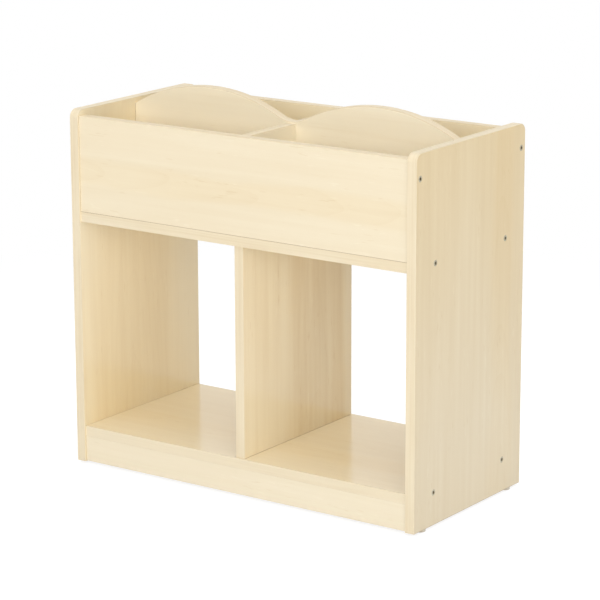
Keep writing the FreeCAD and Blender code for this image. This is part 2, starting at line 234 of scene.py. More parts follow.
# %% The maple's patterns
# Each pattern is noise drawn out along the grain: its waves per metre along the grain and across
# it, and how far its slice of the noise lies from the board's own.
WANDER = (2.2, 6, 0)
FIBRE = (5, 170, 0)
STREAK = (2.5, 55, 7)
CLOUD = (1.7, 5, 15)
GRAIN = (34, 230, 3)
CLUSTER = (9, 28, 11)
# How far the wander shifts the heart line and the pith.
HEART_WANDER = 50 * MM
PITH_WANDER = 30 * MM
# How much each pattern moves the tone, which runs from about 0 for cream to 1 for tan.
FIBRE_SHARE = 0.2
STREAK_SHARE = 0.4
CLOUD_SHARE = 0.3
RING_SHARE = 0.05
FLECK_SHARE = 0.15
# The grain's noise makes a dark fleck above the first range and a light one below the second.
# Outside the clusters only LONE_FLECKS of their strength is left.
DARK_FLECKS = (0.64, 0.76)
LIGHT_FLECKS = (0.26, 0.38)
LIGHT_FLECK_STRENGTH = 0.5
LONE_FLECKS = 0.15
# The part of the rosy tint that is even, where the rest follows the clouds, and how much a cloud
# changes the warmth.
EVEN_ROSE = 0.35
CLOUD_WARMTH = 0.4


def maple(graph, along, across, slice_, reach, heartwood_and_shade, rose, figure, shade, warmth):
    """The colour of maple and its fibres, at a place along and across the board, in metres.

    across is counted from the heart line. The rings are one thin dark line for each turn of the
    fraction of sqrt(across² + depth²) / spacing. slice_ picks another cut of the same noise, so that
    no two faces match. The heartwood ends at reach, is darker by its own number and rosy as far as
    rose says. Where a heart band lies on a wall of the bays, that darkening is partly painted shade.
    figure is the contrast of the streaks, shade darkens the wood, and warmth yellows it.
    """
    def pattern(waves, detail=1.0, roughness=0.5):
        waves_along, waves_across, apart = waves
        place = graph.join(along * waves_along, across * waves_across, slice_ + apart)
        return graph.noise(place, detail, roughness)

    wander = pattern(WANDER, detail=3.0) - 0.5
    heart = 1 - abs(across + wander * HEART_WANDER).ramp(0.5 * reach, reach)
    depth = along * PITH_SLOPE + (PITH_DEPTH + wander * PITH_WANDER)
    pith = (across * across + depth * depth) ** 0.5
    ring = (pith / RING_SPACING).fraction() ** RING_SHARPNESS * heart
    fibre = pattern(FIBRE, detail=3.0, roughness=0.6)
    streak, cloud, grain = pattern(STREAK), pattern(CLOUD), pattern(GRAIN)
    light_flecks = LIGHT_FLECK_STRENGTH * (1 - grain.ramp(*LIGHT_FLECKS))
    flecks = grain.ramp(*DARK_FLECKS) - light_flecks
    cluster = pattern(CLUSTER).ramp(0.48, 0.62)
    fine = FIBRE_SHARE * (fibre - 0.5) + STREAK_SHARE * (streak - 0.5)
    streaks = fine + CLOUD_SHARE * (cloud - 0.5)
    marks = heartwood_and_shade * heart + RING_SHARE * ring + FLECK_SHARE * flecks * (LONE_FLECKS + cluster)
    tone = figure * streaks + marks + (MIDDLE_TONE + shade)
    wood = graph.blend(tone.ramp(0.05, 1.0), CREAM, TAN)
    rosiness = heart * rose * (EVEN_ROSE + (1 - EVEN_ROSE) * cloud.ramp(0.35, 0.6))
    rosy = graph.tint(rosiness, wood, ROSE_TINT)
    return graph.tint(warmth + (cloud - 0.5) * (CLOUD_WARMTH * figure), rosy, WARM_TINT), fibre


# %% [markdown]
# ## The boards
#
# Melamine is a hard, clear skin, so the wood's colour lies under a satin gloss that grows towards a
# grazing view: the bottom shelf mirrors the bright room behind it. That is plain Fresnel reflection,
# at a clear resin's index and a low roughness.
#
# Where a board is sawn and no band covers it, the chips of its core show. The print lies on the two
# faces only, so the surface's own normal tells face from sawn edge and from the wall of a drilled
# hole, and no mesh has to be cut up for it. Where a board meets another board or its band, a
# hair-thin brown line runs along its sawn edge. It is partly the bruise that the saw leaves in the
# skin, and partly painted shade of the hairline gap between the parts.

# %% Chipboard and melamine
CHIP_LIGHT = srgb(206, 176, 128)
CHIP_DARK = srgb(150, 116, 74)
# The line along cut edges: the saw's brown bruise of the skin, and painted shade of the gap between
# parts.
BRUISE_AND_GAP_SHADE = srgb(150, 118, 74)
BRUISE_AND_GAP_SHADE_WIDTH = 0.5 * MM
CHIPS_PER_METRE = 420.0
AXES = "XYZ"


def chipboard(graph, place):
    """The sawn core: chips of two or three millimetres, each with its own shade."""
    chips = {"Vector": place, "Scale": CHIPS_PER_METRE, "Randomness": 1.0}
    colour = graph.add("TexVoronoi", {"feature": "F1"}, chips, "Color")
    shade = graph.split(colour)[0]
    return graph.blend(shade, CHIP_LIGHT, CHIP_DARK)


def bruise_and_gap_shade_line(position, corners, cuts):
    """1 along the sawn edges that cuts names, such as -Z, for the bruise and painted gap shade, and 0
    on the rest of the face.
    """
    line = None
    for side, axis in cuts:
        corner = corners[1 if side == "+" else 0]
        edge = corner[AXES.index(axis)]
        inside = abs(position[axis] - edge)
        near = 1 - inside.ramp(0.6 * BRUISE_AND_GAP_SHADE_WIDTH, BRUISE_AND_GAP_SHADE_WIDTH)
        line = near if line is None else line.larger(near)
    return line


# %% A board's material
RESIN_IOR = 1.5
SAWN_ROUGHNESS = 0.6
SKIN_ROUGHNESS = 0.14
FIBRE_ROUGHNESS = 0.04
# How fast the slice of the noise changes through a board, so that its two faces don't match.
SLICES_PER_METRE = 100


def board_material(node, grain, through, heart, slice_, cuts, reach=45 * MM, heartwood_and_shade=0.05,
                   rose=0.7, figure=0.8, shade=0.0, warmth=0.2, drift=0.0):
    """Melamine-faced board. grain and through are axes, and heart is the heart line's place.

    warmth is the wood's at the frame's origin, and drift its change per metre along the grain. On the
    right side panel the drift is painted light: the panel is paler and cooler low down, where the
    floor's bounce falls.
    """
    graph = Graph(bpy.data.materials.new(node + "_maple"))
    place = graph.place()
    normal = graph.add("NewGeometry", {}, {}, "True Normal")
    position = dict(zip(AXES, graph.split(place)))
    facing = abs(dict(zip(AXES, graph.split(normal)))[through]).ramp(0.4, 0.6)
    cross = (set(AXES) - {grain, through}).pop()
    wood, fibre = maple(graph, position[grain], position[cross] - heart,
                        position[through] * SLICES_PER_METRE + slice_, reach, heartwood_and_shade, rose,
                        figure, shade, position[grain] * drift + warmth)
    # The brown line on the cut edges is saw bruise and painted shade of the gap.
    skin = graph.blend(bruise_and_gap_shade_line(position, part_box(node), cuts), wood, BRUISE_AND_GAP_SHADE)
    colour = graph.blend(facing, chipboard(graph, place), skin)
    smoother = facing * (SAWN_ROUGHNESS - SKIN_ROUGHNESS)
    roughness = SAWN_ROUGHNESS - smoother + fibre * FIBRE_ROUGHNESS
    bump = graph.add("Bump", {}, {"Strength": 0.12, "Distance": 0.2 * MM, "Height": fibre})
    shader = graph.add("BsdfPrincipled", {}, {
        "Base Color": colour, "Roughness": roughness, "IOR": RESIN_IOR, "Normal": bump})
    return graph.finish(shader)


# %% [markdown]
# Each board has a grain direction: it runs up the side panels and the upright, and along the
# others. A board that is cut from another sheet shows another part of the print. So a row gives the
# grain's axis and the axis through the board, the heart line's place in metres, the slice of the
# noise, and the sawn edges that show the brown line of saw bruise and painted gap shade. What sets a
# board apart from its neighbours follows by name: how far its heartwood reaches, how dark and rosy
# that is, how strong the streaks are, how dark and warm the wood is, and how the warmth drifts along
# the grain. On the left side panel and the upright the dark heart band is also painted shade on the
# bays' walls. On the right side panel the drift is painted light: the panel is paler and cooler
# towards the floor, as the floor's bounce makes it.

# %% Dress the boards
BOARDS = {
    # The left side panel's heart band, dark from near its front to past its middle, is print and
    # painted shade on its wall in the left bay.
    "left_side_panel": (("Z", "X", -0.025, 1.3, ["-Z"]), dict(
        reach=0.16, heartwood_and_shade=0.13, rose=0.36, figure=0.9, shade=-0.21, warmth=0.66, drift=-0.35)),
    # The right side panel's drift is painted light: paler and cooler towards the floor, warmer at the
    # top.
    "right_side_panel": (("Z", "X", 0.100, 4.1, ["-Z"]), dict(
        heartwood_and_shade=0.0, rose=0.5, figure=0.6, shade=0.29, warmth=-0.23, drift=1.55)),
    # The upright's heart band, dark from its middle towards its rear, is print and painted shade
    # deeper in the bays.
    "centre_upright": (("Z", "X", 0.062, 9.7, ["-Z", "+Z"]), dict(
        reach=0.12, heartwood_and_shade=0.29, rose=0.6, figure=1.1, shade=-0.11, warmth=0.46, drift=0.1)),
    "bottom_shelf": (("X", "Z", -0.060, 2.9, ["-X", "+X", "-Y", "+Y"]), dict(
        heartwood_and_shade=0.0, rose=0.3, figure=0.4, shade=0.03, warmth=0.37)),
    "bin_floor": (("X", "Z", 0.050, 6.3, ["-X", "+X", "-Y", "+Y"]), dict(warmth=0.36)),
    "front_bin_panel": (("X", "Y", 0.540, 5.2, ["-X", "+X", "-Z"]), dict(
        reach=0.03, heartwood_and_shade=0.03, rose=0.35, figure=0.5, shade=0.19, warmth=-0.04, drift=-0.4)),
    "rear_bin_panel": (("X", "Y", 0.590, 8.8, ["-X", "+X", "-Z"]), dict(
        heartwood_and_shade=0.0, shade=-0.28, warmth=0.38)),
    "front_kick_board": (("X", "Y", 0.150, 3.6, ["-X", "+X"]), dict(
        figure=0.5, shade=0.12, warmth=-0.01, drift=-0.1)),
    "rear_kick_board": (("X", "Y", 0.040, 7.4, ["-X", "+X"]), dict(shade=0.07, warmth=0.15)),
    "arched_divider": (("X", "Y", 0.560, 11.5, ["-X", "+X", "-Z"]), dict(
        heartwood_and_shade=0.0, rose=0.5, figure=1.6, shade=-0.26, warmth=0.09)),
    "front_cross_divider": (("Y", "X", 0.540, 12.7, ["-Y", "-Z"]), dict(shade=-0.2, warmth=0.2)),
    "rear_cross_divider": (("Y", "X", 0.580, 14.2, ["+Y", "-Z"]), dict(warmth=0.30)),
}
for node, (facts, looks) in BOARDS.items():
    nodes[node].data.materials.clear()
    nodes[node].data.materials.append(board_material(node, *facts, **looks))
print("boards dressed:", len(BOARDS))

# %% [markdown]
# ## A sheet of points becomes a mesh
#
# Every new piece below is a surface worked out on a grid: one parameter runs along it and the other
# round its section. One function joins neighbouring points of the grid into four-sided faces, and
# closes the two ends. Which way round the faces turn depends on the formula, so the signed volume is
# measured, and a negative one turns all the faces over.

# %% From grid to mesh
SHARP_ANGLE = math.radians(35)
CUBIC_CENTIMETRE = 1e-6


def grid_faces(rows, columns):
    """Faces of a grid that is closed round its columns, and the two faces that close its ends."""
    row, column = np.meshgrid(np.arange(rows - 1), np.arange(columns), indexing="ij")
    following = (column + 1) % columns
    corners = [row * columns + column, row * columns + following,
               (row + 1) * columns + following, (row + 1) * columns + column]
    quads = np.stack(corners, axis=-1).reshape(-1, 4)
    ends = [np.arange(columns)[::-1], np.arange(columns) + (rows - 1) * columns]
    return [*quads.tolist(), *(end.tolist() for end in ends)]


def signed_volume(points, faces):
    """The sum over the faces' triangles of a · (b × c) / 6: positive if they face outwards."""
    triangles = np.array([(face[0], face[i], face[i + 1])
                          for face in faces for i in range(1, len(face) - 1)])
    a, b, c = (points[triangles[:, corner]] for corner in range(3))
    return float(np.einsum("ij,ij->i", a, np.cross(b, c)).sum() / 6)


def solid_piece(name, grids, material, replaced):
    """One object from several closed grids of points, each (rows, columns, 3), in the row frame."""
    points, faces = [], []
    for grid in grids:
        rows, columns, _ = grid.shape
        flat = grid.reshape(-1, 3)
        own = grid_faces(rows, columns)
        if signed_volume(flat, own) < 0:
            own = [face[::-1] for face in own]
        start = sum(len(part) for part in points)
        faces += [[start + corner for corner in face] for face in own]
        points.append(flat)
    points = np.concatenate(points)
    mesh = bpy.data.meshes.new(name)
    mesh.from_pydata(points.tolist(), [], faces)
    mesh.shade_smooth()
    mesh.set_sharp_from_angle(angle=SHARP_ANGLE)
    mesh.materials.append(material)
    piece = bpy.data.objects.new(name, mesh)
    bpy.context.scene.collection.objects.link(piece)
    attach(piece, "root")
    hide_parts(replaced)
    volume = signed_volume(points, faces) / CUBIC_CENTIMETRE
    print(name, "faces:", len(faces), "volume in cm³:", round(volume, 2))
    return piece


# %% [markdown]
# ## Edge bands
#
# A band is a millimetre of plastic, glued to a sawn edge and trimmed to a small round on both
# sides. That round draws the thin bright line along every edge of the browser. A bevel on a block
# would do for the straight ones, but the bands on the side panels and on the arches are one strip
# each, bent round a curve. So all of them are one section carried along a path, and each point
# remembers how far along the strip it lies. The print then follows the strip round its corners, as
# on the real one, where the grain was printed before the strip was bent.
#
# The strips of both shelves are trimmed close along their lower corner. The kick boards come up
# flush under the bottom shelf's, and the bin floor's end in a crisp edge over the open bays.

# %% The section and its path
BAND = 1 * MM
# The radii of a section's two corners. Across a shelf the first one is the lower one.
ROUNDED = (0.9 * MM, 0.9 * MM)
TIGHT = (0.25 * MM, 0.9 * MM)
SECTION_STEPS = 7


def arc(centre, radius, start, end, count):
    """Points on a circle, centre + radius (cos t, sin t), and their outward unit normals."""
    turn = np.linspace(start, end, count)
    normal = np.stack([np.cos(turn), np.sin(turn)], axis=1)
    return np.asarray(centre) + radius * normal, normal


def band_section(width, corners):
    """Pairs (sideways, outwards): flat on the board and outside, a quarter round at each corner."""
    first, last = corners
    left, _ = arc((first - width / 2, BAND - first), first, math.pi, math.pi / 2, SECTION_STEPS)
    right, _ = arc((width / 2 - last, BAND - last), last, math.pi / 2, 0.0, SECTION_STEPS)
    return np.concatenate([[(-width / 2, 0.0)], left, right, [(width / 2, 0.0)]])


def carried(path, outward, sideways, section):
    """The band's section carried along a path: path + outward * height + sideways * breadth."""
    breadth, height = section.T
    return (path[:, None] + outward[:, None] * height[None, :, None]
            + np.asarray(sideways) * breadth[None, :, None])


def strip_places(path, section):
    """For each point of a carried band: the distance along the strip, and the place across it."""
    steps = np.linalg.norm(np.diff(path, axis=0), axis=1)
    length = np.concatenate([[0.0], np.cumsum(steps)])
    breadth, height = section.T
    along, across = np.broadcast_arrays(length[:, None], (breadth * (1 + height / BAND))[None, :])
    return np.stack([along, across, np.zeros_like(along)], axis=-1).reshape(-1, 3)


# %% [markdown]
# The strips' print is streaks and soft patches: a band is far too narrow to show a plank's arches.
# The strip coordinate is stored in the mesh as an attribute, and the material reads it back by its
# name.

# %% The band's material
BAND_CREAM = srgb(238, 224, 195)
BAND_TAN = srgb(225, 205, 168)
# Waves per metre along the strip and across it, and how much each pattern moves the tone.
BAND_STREAK = (3.5, 150)
BAND_PATCH = (6, 12)
BAND_STREAK_SHARE = 0.8
BAND_PATCH_SHARE = 0.5
BAND_IOR = 1.5


def band_material(name, shift, shade):
    """Satin plastic with maple streaks that run along the strip.

    shift is the place on the printed roll where the strip was cut off, and shade darkens it. On the
    top edges that darkening is painted shade, and below 0, on the bottom shelf's strips, it is painted
    light.
    """
    graph = Graph(bpy.data.materials.new(name))
    strip = graph.add("Attribute", {"attribute_name": "strip"}, {}, "Vector")
    along, across, _ = graph.split(strip)
    along = along + shift
    streak_place = graph.join(along * BAND_STREAK[0], across * BAND_STREAK[1], shift * 3)
    streak = graph.noise(streak_place, detail=3.0, roughness=0.6)
    patch_place = graph.join(along * BAND_PATCH[0], across * BAND_PATCH[1], shift * 5)
    patch = graph.noise(patch_place, detail=1.0)
    tone = BAND_STREAK_SHARE * streak + BAND_PATCH_SHARE * (patch - 0.5) + shade
    colour = graph.blend(tone.ramp(0.1, 0.9), BAND_CREAM, BAND_TAN)
    bump = graph.add("Bump", {}, {"Strength": 0.1, "Distance": 0.1 * MM, "Height": streak})
    shader = graph.add("BsdfPrincipled", {}, {
        "Base Color": colour, "Roughness": 0.4 + streak * 0.08, "IOR": BAND_IOR, "Normal": bump})
    return graph.finish(shader)


def band_piece(node, strips, shift, shade=0.0, corners=ROUNDED):
    """A band of one or more strips. A strip is (path, outward normals, sideways direction)."""
    section = band_section(thickness, corners)
    piece = solid_piece(node + "_strip", [carried(*strip, section) for strip in strips],
                        band_material(node + "_print", shift, shade), node)
    places = np.concatenate([strip_places(path, section) for path, _, _ in strips])
    layer = piece.data.attributes.new("strip", "FLOAT_VECTOR", "POINT")
    layer.data.foreach_set("vector", places.astype(np.float32).ravel())
    evened = piece.modifiers.new("even_shading", "WEIGHTED_NORMAL")
    evened.keep_sharp = True


# %% Straight bands
PIECE_AXES = np.eye(3)
# Where on the printed roll the first strip was cut off, and how much further on each next one.
FIRST_SHIFT = 1.0
SHIFT_STEP = 0.83


def straight_strip(board, side, along_axis, through_axis):
    """A strip on one edge of a board. side is the outward direction, such as -Y or +Z."""
    low, high = (np.array(corner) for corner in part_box(board))
    outward = (1 if side[0] == "+" else -1) * PIECE_AXES[AXES.index(side[1])]
    middle = (low + high) / 2 + outward * (high - low) / 2
    half = PIECE_AXES[AXES.index(along_axis)] * (high - low) / 2
    path = np.stack([middle - half, middle + half])
    return path, np.stack([outward, outward]), PIECE_AXES[AXES.index(through_axis)]


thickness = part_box("bin_floor")[1].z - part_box("bin_floor")[0].z
# Each row: the bands' node, their board, its sides, the axes along and across the strip, how much
# darker the print is made, and the section's corners. That darkening is painted shade on the top
# edges, and the bottom shelf's number below 0 is painted light on its edges.
STRAIGHT = [
    ("bottom_shelf_bands", "bottom_shelf", ("-Y", "+Y"), "X", "Z", -0.2, TIGHT),
    ("bin_floor_bands", "bin_floor", ("-Y", "+Y"), "X", "Z", 0.0, TIGHT),
    ("centre_upright_bands", "centre_upright", ("-Y", "+Y"), "Z", "X", 0.0, ROUNDED),
    ("front_bin_panel_band", "front_bin_panel", ("+Z",), "X", "Y", 0.2, ROUNDED),
    ("rear_bin_panel_band", "rear_bin_panel", ("+Z",), "X", "Y", 0.1, ROUNDED),
    ("front_kick_board_band", "front_kick_board", ("-Z",), "X", "Y", 0.0, ROUNDED),
    ("rear_kick_board_band", "rear_kick_board", ("-Z",), "X", "Y", 0.0, ROUNDED),
    ("front_cross_divider_band", "front_cross_divider", ("+Z",), "Y", "X", 0.2, ROUNDED),
    ("rear_cross_divider_band", "rear_cross_divider", ("+Z",), "Y", "X", 0.2, ROUNDED),
]
for number, (node, board, sides, along_axis, through_axis, shade, corners) in enumerate(STRAIGHT):
    strips = [straight_strip(board, side, along_axis, through_axis) for side in sides]
    band_piece(node, strips, FIRST_SHIFT + SHIFT_STEP * number, shade, corners)
print("board thickness in mm:", round(thickness / MM, 2))

# %% [markdown]
# A side panel's strip runs up the front, round a corner, over the top, round the other corner and
# down the rear. The divider's strip runs over both humps: each hump is an arc, and a smaller arc
# turned the other way joins them over the middle. Two circles touch on the line between their
# centres, which gives the angle where one arc hands over to the next.

# %% Bands bent round a curve
CORNER_RADIUS = 15 * MM
CORNER_STEPS = 17
SIDE_SHIFT = 11.0
SAME_POINT = 1e-7


def round_path(points, normals, lay_out):
    """Joins the stretches of an outline in 2D, drops double points and lays it out in space.

    lay_out gets pairs of numbers, and 1 where they are points or 0 where they are directions.
    """
    flat, outward = np.concatenate(points), np.concatenate(normals)
    steps = np.linalg.norm(np.diff(flat, axis=0), axis=1)
    keep = np.concatenate([[True], steps > SAME_POINT])
    return lay_out(flat[keep], 1.0), lay_out(outward[keep], 0.0)


for number, (node, board) in enumerate((("left_side_band", "left_side_panel"),
                                        ("right_side_band", "right_side_panel"))):
    low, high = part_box(board)
    radius = CORNER_RADIUS - BAND
    level = high.z - radius
    front = arc((low.y + radius, level), radius, math.pi, math.pi / 2, CORNER_STEPS)
    rear = arc((high.y - radius, level), radius, math.pi / 2, 0.0, CORNER_STEPS)
    stretches = [(np.array([[low.y, low.z]]), np.array([[-1.0, 0.0]])), front, rear,
                 (np.array([[high.y, low.z]]), np.array([[1.0, 0.0]]))]
    middle = (low.x + high.x) / 2
    path, outward = round_path(*zip(*stretches), lambda flat, place: np.column_stack(
        [np.full(len(flat), middle * place), flat]))
    band_piece(node, [(path, outward, PIECE_AXES[0])], SIDE_SHIFT + number)

# %% The arches
HUMP_RISE = 44 * MM
VALLEY_WIDTH = 26 * MM
VALLEY_RADIUS = 60 * MM
HUMP_STEPS = 65
VALLEY_STEPS = 17
ARCH_SHIFT = 17.0
low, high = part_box("arched_divider")
half = (high.x - low.x) / 2
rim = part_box("front_bin_panel_band")[1].z
reach = (half - VALLEY_WIDTH / 2) / 2
hump_radius = (reach ** 2 + HUMP_RISE ** 2) / (2 * HUMP_RISE)
centre = half - reach
level = rim + HUMP_RISE - hump_radius
inner, dip = hump_radius - BAND, VALLEY_RADIUS + BAND
meeting = math.acos(centre / (inner + dip))
dip_level = level + centre * math.tan(meeting)
end = math.acos((half - centre) / inner)
left_hump = arc((-centre, level), inner, math.pi - end, meeting, HUMP_STEPS)
right_hump = arc((centre, level), inner, math.pi - meeting, end, HUMP_STEPS)
valley, valley_normal = arc(
    (0.0, dip_level), dip, math.pi + meeting, 2 * math.pi - meeting, VALLEY_STEPS)
stretches = [left_hump, (valley, -valley_normal), right_hump]
path, outward = round_path(*zip(*stretches), lambda flat, place: np.column_stack(
    [flat[:, 0], np.zeros(len(flat)), flat[:, 1]]))
# The arch's top edge is made a little darker, as painted shade.
band_piece("arched_divider_band", [(path, outward, PIECE_AXES[1])], ARCH_SHIFT, 0.1)
print("hump radius in mm:", round(hump_radius / MM, 1))
print("highest point in mm:", round((path[:, 2].max() + BAND) / MM, 1))

# %% [markdown]
# ## Connector screws
#
# The shelves and bin panels hang on steel connector screws: a flat countersunk head with a hex
# socket, a plain shank, and a steep thin thread that cuts into the chipboard. A hexagon is a circle
# whose radius is the apothem over the cosine of the angle from the middle of the nearest flat, so
# one factor from 0 to 1 turns a round ring of the surface into a six-sided one. The thread is a
# ridge on the core: its phase is the height over the pitch less the angle over a full turn, so it
# climbs as it goes round. Both are one formula on a grid of angle and height.

# %% A surface round an axis


def round_surface(radius, height, angle):
    """A surface round the Z axis: (radius cos angle, radius sin angle, height)."""
    height = np.broadcast_to(height, radius.shape)
    return np.stack([radius * np.cos(angle), radius * np.sin(angle), height], axis=-1)


# %% Screw sizes
THREAD_START = 15 * MM
THREAD_END = 46 * MM
THREAD_PITCH = 3.2 * MM
CORE_RADIUS = 2.5 * MM
CREST_RADIUS = 3.4 * MM
RIDGE_HALF_WIDTH = 0.22
RINGS_PER_PITCH = 10
FIRST_RING_GAP = 0.3 * MM
ROUND_STEPS = 36
# Rings of the head, from the middle of the socket's floor out over the rim and down the cone to the
# end of the plain shank: radius and depth below the head's top, in millimetres, and how six-sided
# the ring is.
HEAD_RINGS = np.array([
    (0.02, 2.9, 0), (1.6, 2.62, 0.6), (2.44, 2.5, 1), (2.5, 2.44, 1), (2.5, 0.45, 1), (2.9, 0.06, 0.2),
    (3.05, 0.0, 0), (4.5, 0.0, 0), (4.95, 0.1, 0), (5.25, 0.3, 0), (5.3, 0.6, 0), (3.5, 3.0, 0),
    (3.5, 14.6, 0), (2.6, 15.0, 0)])
SOCKET_RINGS = 5
TIP_RINGS = np.array([(2.5, 46.4), (1.5, 49.3), (0.7, 49.9), (0.02, 50.0)]) * MM

# %% The screw's surface


def screw_surface():
    """The screw's surface, head at height 0 and tip at the screw's length, as (rings, steps, 3)."""
    angle = np.linspace(0, 2 * math.pi, ROUND_STEPS, endpoint=False)
    sixth = math.pi / 3
    hexagon = 1 / np.cos((angle % sixth) - sixth / 2)
    radius, depth, six_sided = (column[:, None] for column in HEAD_RINGS.T)
    head_radius = radius * MM * (1 + six_sided * (hexagon - 1))
    head_height = np.broadcast_to(depth * MM, head_radius.shape)
    first_ring = THREAD_START + FIRST_RING_GAP
    height = np.arange(first_ring, THREAD_END, THREAD_PITCH / RINGS_PER_PITCH)[:, None]
    phase = (height / THREAD_PITCH - angle / (2 * math.pi)) % 1
    ridge = np.clip(1 - np.abs(phase - 0.5) / RIDGE_HALF_WIDTH, 0, 1)
    run_in = np.clip((height - THREAD_START) / THREAD_PITCH, 0, 1)
    run_out = np.clip((THREAD_END - height) / THREAD_PITCH, 0, 1)
    fade = run_in * run_out
    thread_radius = CORE_RADIUS + (CREST_RADIUS - CORE_RADIUS) * ridge * fade
    thread_height = np.broadcast_to(height, thread_radius.shape)
    tip_radius = np.broadcast_to(TIP_RINGS[:, :1], (len(TIP_RINGS), ROUND_STEPS))
    tip_height = np.broadcast_to(TIP_RINGS[:, 1:], tip_radius.shape)
    radius = np.concatenate([head_radius, thread_radius, tip_radius])
    height = np.concatenate([head_height, thread_height, tip_height])
    return round_surface(radius, height, angle)


def pointed(surface, place, direction, turn=0.0):
    """A surface along Z, turned about its own axis, then pointed in a direction from a place."""
    direction = np.asarray(direction, float)
    sideways = np.roll(direction, 1)
    other = np.cross(direction, sideways)
    cos, sin = math.cos(turn), math.sin(turn)
    x = surface[..., :1] * cos - surface[..., 1:2] * sin
    y = surface[..., :1] * sin + surface[..., 1:2] * cos
    return np.asarray(place) + x * sideways + y * other + surface[..., 2:] * direction


# %% [markdown]
# The steel is zinc plated: metal with a soft, slightly mottled shine. Its reflection has a colour of
# its own, so Metallic is 1 and the base colour is the colour of the shine.

# %% Zinc-plated steel
PLATING_DARK = srgb(178, 170, 148)
PLATING_LIGHT = srgb(206, 198, 176)
# The darker colour in the hex socket is painted shade of its hollow.
SOCKET_PAINTED_SHADE = srgb(152, 139, 108)
MOTTLE_WAVES = 900.0


def zinc():
    """Plated steel, a little rougher where it is lighter, and duller in the socket, whose darker
    colour is painted shade.
    """
    graph = Graph(bpy.data.materials.new("zinc_plated_steel"))
    socket = graph.add("Attribute", {"attribute_name": "socket"}, {}, "Fac")
    mottle = graph.speckle(MOTTLE_WAVES, detail=3.0, roughness=0.6)
    plating = graph.blend(mottle, PLATING_DARK, PLATING_LIGHT)
    colour = graph.blend(socket, plating, SOCKET_PAINTED_SHADE)
    bump = graph.add("Bump", {}, {"Strength": 0.15, "Distance": 0.05 * MM, "Height": mottle})
    shader = graph.add("BsdfPrincipled", {}, {
        "Base Color": colour, "Metallic": 1.0, "Roughness": 0.2 + mottle * 0.16 + socket * 0.4,
        "Normal": bump})
    return graph.finish(shader)


def screws_piece(name, surfaces, replaced):
    """Screws whose points know whether they lie in the socket."""
    piece = solid_piece(name, surfaces, steel, replaced)
    rings = np.arange(len(surfaces[0])) < SOCKET_RINGS
    mask = np.tile(np.repeat(rings, ROUND_STEPS), len(surfaces))
    layer = piece.data.attributes.new("socket", "FLOAT", "POINT")
    layer.data.foreach_set("value", mask.astype(np.float32))


# %% Where the screws go
SHELF_SCREW_INSET = 57 * MM
BIN_FIXING_INSET = 32 * MM
# The screws of a side stop at different turns: the turn from one to the next, in radians, and the
# turn of the upright's two, one each way.
TURN_STEP = 0.7
UPRIGHT_TURN = 0.4
steel = zinc()
screw = screw_surface()
outer = cad_box[1].x
shelf_half_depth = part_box("bottom_shelf_bands")[1].y
panel_middle = shelf_half_depth - thickness / 2
upper_fixing = rim - BIN_FIXING_INSET
shelf_screw = shelf_half_depth - SHELF_SCREW_INSET


def middle_height(node):
    low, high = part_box(node)
    return (low.z + high.z) / 2


for side, sign in (("left", -1), ("right", 1)):
    spots = [(way * y, z) for way in (-1, 1) for y, z in (
        (panel_middle, upper_fixing), (shelf_screw, middle_height("bin_floor")),
        (shelf_screw, middle_height("bottom_shelf")))]
    surfaces = [pointed(screw, (sign * outer, y, z), (-sign, 0, 0), turn=TURN_STEP * number + sign)
                for number, (y, z) in enumerate(spots)]
    screws_piece(side + "_side_screws_threaded", surfaces, side + "_side_screws")
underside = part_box("bottom_shelf")[0].z
surfaces = [pointed(screw, (0.0, way * shelf_screw, underside), (0, 0, 1), UPRIGHT_TURN * way)
            for way in (-1, 1)]
screws_piece("upright_screws_threaded", surfaces, "upright_screws")

# %% [markdown]
# ## Dowels
#
# A beech dowel is pressed with flutes that let the glue escape, and its ends are chamfered so that
# it finds its hole. Dowels lie inside the boards, where nobody sees them, but a browser that is
# taken apart shows them. The flutes are a ripple on the radius, |cos| of half the flutes' number
# times the angle, which is smooth on the ridges and sharp in the grooves.

# %% Dowels with flutes
DOWEL_RADIUS = 4 * MM
FLUTE_DEPTH = 0.3 * MM
FLUTES = 18
STEPS_PER_FLUTE = 4
DOWEL_END_RADIUS = 3 * MM
DOWEL_CHAMFER = 1.2 * MM
# A ring this small closes an end without a hole.
CLOSED = 0.02 * MM
IN_FACE = 10 * MM
IN_EDGE = 20 * MM


def dowel_surface(low, high):
    """A fluted pin along Z from one height to another."""
    angle = np.linspace(0, 2 * math.pi, FLUTES * STEPS_PER_FLUTE, endpoint=False)
    ripple = FLUTE_DEPTH * (1 - np.abs(np.cos(FLUTES / 2 * angle)))
    rings = np.array([
        (CLOSED, low), (DOWEL_END_RADIUS, low), (DOWEL_RADIUS, low + DOWEL_CHAMFER),
        (DOWEL_RADIUS, high - DOWEL_CHAMFER), (DOWEL_END_RADIUS, high), (CLOSED, high)])
    is_side = (rings[:, :1] == DOWEL_RADIUS)
    return round_surface(rings[:, :1] - is_side * ripple, rings[:, 1:], angle)


# %% Bare beech
BEECH_LIGHT = srgb(214, 176, 130)
BEECH_DARK = srgb(178, 132, 88)
BEECH_WAVES = 700.0


def beech():
    """Bare beech: warm and matt, with fine dark specks."""
    graph = Graph(bpy.data.materials.new("bare_beech"))
    grain = graph.speckle(BEECH_WAVES, detail=4.0, roughness=0.7)
    colour = graph.blend(grain.ramp(0.3, 0.7), BEECH_LIGHT, BEECH_DARK)
    shader = graph.add("BsdfPrincipled", {}, {"Base Color": colour, "Roughness": 0.7 + grain * 0.2})
    return graph.finish(shader)


